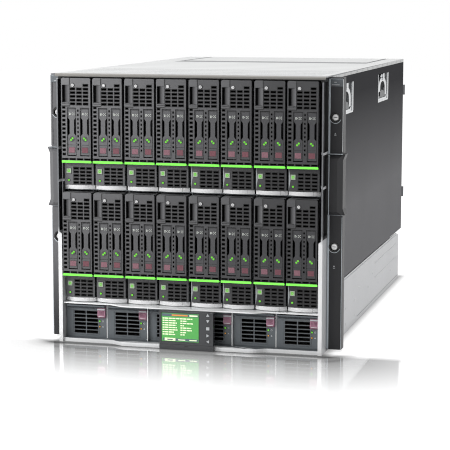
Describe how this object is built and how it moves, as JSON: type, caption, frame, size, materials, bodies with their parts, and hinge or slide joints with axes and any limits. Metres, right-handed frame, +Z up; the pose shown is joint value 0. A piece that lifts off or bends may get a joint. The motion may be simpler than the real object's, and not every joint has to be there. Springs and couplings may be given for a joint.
{
  "type": "blade server chassis",
  "caption": "Rack enclosure with two rows of slide-out server blades over slide-in power supplies and a tilting display.",
  "frame": {"origin": "middle of the bounding box in plan, at the height of the surface it stands on", "axes": "+X to the right seen from the front, +Y from the front to the rear, +Z up"},
  "size_m": [0.499, 0.8302, 0.4422],
  "materials": {
    "housing_light": "satin",
    "panel_dark": "satin",
    "cover_white": "satin",
    "frame_silver": "satin",
    "bay_silver": "satin",
    "cage_steel": "satin",
    "board_green": "matte",
    "ear_plastic": "satin",
    "bracket_metal": "bright",
    "fan_black": "matte",
    "module_grey": "satin",
    "inlet_dark": "satin",
    "display_dark": "satin",
    "key_silver": "satin",
    "blade_dark": "satin",
    "lever_silver": "satin",
    "supply_grey": "satin"
  },
  "bodies": {
    "chassis": {"base_housing": "housing_light", "left_side_panel": "panel_dark", "right_side_panel": "panel_dark", "top_cover": "cover_white", "front_frame": "frame_silver", "power_bay_frame": "bay_silver", "blade_cage": "cage_steel", "midplane": "board_green", "rear_cage": "cage_steel", "left_rack_ear": "ear_plastic", "right_rack_ear": "ear_plastic", "lift_brackets": "bracket_metal", "rack_screws": "bracket_metal", "power_backplane": "board_green", "fan_modules": "fan_black", "interconnect_modules": "module_grey", "management_modules": "module_grey", "power_inlets": "inlet_dark", "power_supply_3": "supply_grey", "power_supply_4": "supply_grey"},
    "display_tray": {"display_tray": "display_dark"},
    "display_panel": {"display_panel": "display_dark", "display_keys": "key_silver"},
    "blade_01": {"blade_01": "blade_dark"},
    "lever_01": {"lever_01": "lever_silver"},
    "blade_02": {"blade_02": "blade_dark"},
    "lever_02": {"lever_02": "lever_silver"},
    "blade_03": {"blade_03": "blade_dark"},
    "lever_03": {"lever_03": "lever_silver"},
    "blade_04": {"blade_04": "blade_dark"},
    "lever_04": {"lever_04": "lever_silver"},
    "blade_05": {"blade_05": "blade_dark"},
    "lever_05": {"lever_05": "lever_silver"},
    "blade_06": {"blade_06": "blade_dark"},
    "lever_06": {"lever_06": "lever_silver"},
    "blade_07": {"blade_07": "blade_dark"},
    "lever_07": {"lever_07": "lever_silver"},
    "blade_08": {"blade_08": "blade_dark"},
    "lever_08": {"lever_08": "lever_silver"},
    "blade_09": {"blade_09": "blade_dark"},
    "lever_09": {"lever_09": "lever_silver"},
    "blade_10": {"blade_10": "blade_dark"},
    "lever_10": {"lever_10": "lever_silver"},
    "blade_11": {"blade_11": "blade_dark"},
    "lever_11": {"lever_11": "lever_silver"},
    "blade_12": {"blade_12": "blade_dark"},
    "lever_12": {"lever_12": "lever_silver"},
    "blade_13": {"blade_13": "blade_dark"},
    "lever_13": {"lever_13": "lever_silver"},
    "blade_14": {"blade_14": "blade_dark"},
    "lever_14": {"lever_14": "lever_silver"},
    "blade_15": {"blade_15": "blade_dark"},
    "lever_15": {"lever_15": "lever_silver"},
    "blade_16": {"blade_16": "blade_dark"},
    "lever_16": {"lever_16": "lever_silver"},
    "power_supply_1": {"power_supply_1": "supply_grey"},
    "power_supply_2": {"power_supply_2": "supply_grey"},
    "power_supply_5": {"power_supply_5": "supply_grey"},
    "power_supply_6": {"power_supply_6": "supply_grey"}
  },
  "joints": [
    {"name": "display_slide", "type": "slide", "parent": "chassis", "child": "display_tray", "axis": [1, 0, 0], "range_m": [-0.055, 0.052]},
    {"name": "display_tilt", "type": "hinge", "parent": "display_tray", "child": "display_panel", "pos_m": [0.002, -0.4113, 0.0615], "axis": [-1, 0, 0], "range_deg": [0, 60]},
    {"name": "blade_01_slide", "type": "slide", "parent": "chassis", "child": "blade_01", "axis": [0, -1, 0], "range_m": [0, 0.48]},
    {"name": "lever_01_swing", "type": "hinge", "parent": "blade_01", "child": "lever_01", "pos_m": [-0.21035, -0.3791, 0.2566], "axis": [0, 0, -1], "range_deg": [0, 50]},
    {"name": "blade_02_slide", "type": "slide", "parent": "chassis", "child": "blade_02", "axis": [0, -1, 0], "range_m": [0, 0.48]},
    {"name": "lever_02_swing", "type": "hinge", "parent": "blade_02", "child": "lever_02", "pos_m": [-0.15705, -0.3791, 0.2566], "axis": [0, 0, -1], "range_deg": [0, 50]},
    {"name": "blade_03_slide", "type": "slide", "parent": "chassis", "child": "blade_03", "axis": [0, -1, 0], "range_m": [0, 0.48]},
    {"name": "lever_03_swing", "type": "hinge", "parent": "blade_03", "child": "lever_03", "pos_m": [-0.10295, -0.3791, 0.2566], "axis": [0, 0, -1], "range_deg": [0, 50]},
    {"name": "blade_04_slide", "type": "slide", "parent": "chassis", "child": "blade_04", "axis": [0, -1, 0], "range_m": [0, 0.48]},
    {"name": "lever_04_swing", "type": "hinge", "parent": "blade_04", "child": "lever_04", "pos_m": [-0.04965, -0.3791, 0.2566], "axis": [0, 0, -1], "range_deg": [0, 50]},
    {"name": "blade_05_slide", "type": "slide", "parent": "chassis", "child": "blade_05", "axis": [0, -1, 0], "range_m": [0, 0.48]},
    {"name": "lever_05_swing", "type": "hinge", "parent": "blade_05", "child": "lever_05", "pos_m": [0.00445, -0.3791, 0.2566], "axis": [0, 0, -1], "range_deg": [0, 50]},
    {"name": "blade_06_slide", "type": "slide", "parent": "chassis", "child": "blade_06", "axis": [0, -1, 0], "range_m": [0, 0.48]},
    {"name": "lever_06_swing", "type": "hinge", "parent": "blade_06", "child": "lever_06", "pos_m": [0.05775, -0.3791, 0.2566], "axis": [0, 0, -1], "range_deg": [0, 50]},
    {"name": "blade_07_slide", "type": "slide", "parent": "chassis", "child": "blade_07", "axis": [0, -1, 0], "range_m": [0, 0.48]},
    {"name": "lever_07_swing", "type": "hinge", "parent": "blade_07", "child": "lever_07", "pos_m": [0.11185, -0.3791, 0.2566], "axis": [0, 0, -1], "range_deg": [0, 50]},
    {"name": "blade_08_slide", "type": "slide", "parent": "chassis", "child": "blade_08", "axis": [0, -1, 0], "range_m": [0, 0.48]},
    {"name": "lever_08_swing", "type": "hinge", "parent": "blade_08", "child": "lever_08", "pos_m": [0.16515, -0.3791, 0.2566], "axis": [0, 0, -1], "range_deg": [0, 50]},
    {"name": "blade_09_slide", "type": "slide", "parent": "chassis", "child": "blade_09", "axis": [0, -1, 0], "range_m": [0, 0.48]},
    {"name": "lever_09_swing", "type": "hinge", "parent": "blade_09", "child": "lever_09", "pos_m": [-0.21035, -0.3791, 0.0702], "axis": [0, 0, -1], "range_deg": [0, 50]},
    {"name": "blade_10_slide", "type": "slide", "parent": "chassis", "child": "blade_10", "axis": [0, -1, 0], "range_m": [0, 0.48]},
    {"name": "lever_10_swing", "type": "hinge", "parent": "blade_10", "child": "lever_10", "pos_m": [-0.15705, -0.3791, 0.0702], "axis": [0, 0, -1], "range_deg": [0, 50]},
    {"name": "blade_11_slide", "type": "slide", "parent": "chassis", "child": "blade_11", "axis": [0, -1, 0], "range_m": [0, 0.48]},
    {"name": "lever_11_swing", "type": "hinge", "parent": "blade_11", "child": "lever_11", "pos_m": [-0.10295, -0.3791, 0.0702], "axis": [0, 0, -1], "range_deg": [0, 50]},
    {"name": "blade_12_slide", "type": "slide", "parent": "chassis", "child": "blade_12", "axis": [0, -1, 0], "range_m": [0, 0.48]},
    {"name": "lever_12_swing", "type": "hinge", "parent": "blade_12", "child": "lever_12", "pos_m": [-0.04965, -0.3791, 0.0702], "axis": [0, 0, -1], "range_deg": [0, 50]},
    {"name": "blade_13_slide", "type": "slide", "parent": "chassis", "child": "blade_13", "axis": [0, -1, 0], "range_m": [0, 0.48]},
    {"name": "lever_13_swing", "type": "hinge", "parent": "blade_13", "child": "lever_13", "pos_m": [0.00445, -0.3791, 0.0702], "axis": [0, 0, -1], "range_deg": [0, 50]},
    {"name": "blade_14_slide", "type": "slide", "parent": "chassis", "child": "blade_14", "axis": [0, -1, 0], "range_m": [0, 0.48]},
    {"name": "lever_14_swing", "type": "hinge", "parent": "blade_14", "child": "lever_14", "pos_m": [0.05775, -0.3791, 0.0702], "axis": [0, 0, -1], "range_deg": [0, 50]},
    {"name": "blade_15_slide", "type": "slide", "parent": "chassis", "child": "blade_15", "axis": [0, -1, 0], "range_m": [0, 0.48]},
    {"name": "lever_15_swing", "type": "hinge", "parent": "blade_15", "child": "lever_15", "pos_m": [0.11185, -0.3791, 0.0702], "axis": [0, 0, -1], "range_deg": [0, 50]},
    {"name": "blade_16_slide", "type": "slide", "parent": "chassis", "child": "blade_16", "axis": [0, -1, 0], "range_m": [0, 0.48]},
    {"name": "lever_16_swing", "type": "hinge", "parent": "blade_16", "child": "lever_16", "pos_m": [0.16515, -0.3791, 0.0702], "axis": [0, 0, -1], "range_deg": [0, 50]},
    {"name": "power_supply_1_slide", "type": "slide", "parent": "chassis", "child": "power_supply_1", "axis": [0, -1, 0], "range_m": [0, 0.6]},
    {"name": "power_supply_2_slide", "type": "slide", "parent": "chassis", "child": "power_supply_2", "axis": [0, -1, 0], "range_m": [0, 0.6]},
    {"name": "power_supply_5_slide", "type": "slide", "parent": "chassis", "child": "power_supply_5", "axis": [0, 1, 0], "range_m": [-0.6, 0]},
    {"name": "power_supply_6_slide", "type": "slide", "parent": "chassis", "child": "power_supply_6", "axis": [0, 1, 0], "range_m": [-0.6, 0]}
  ]
}
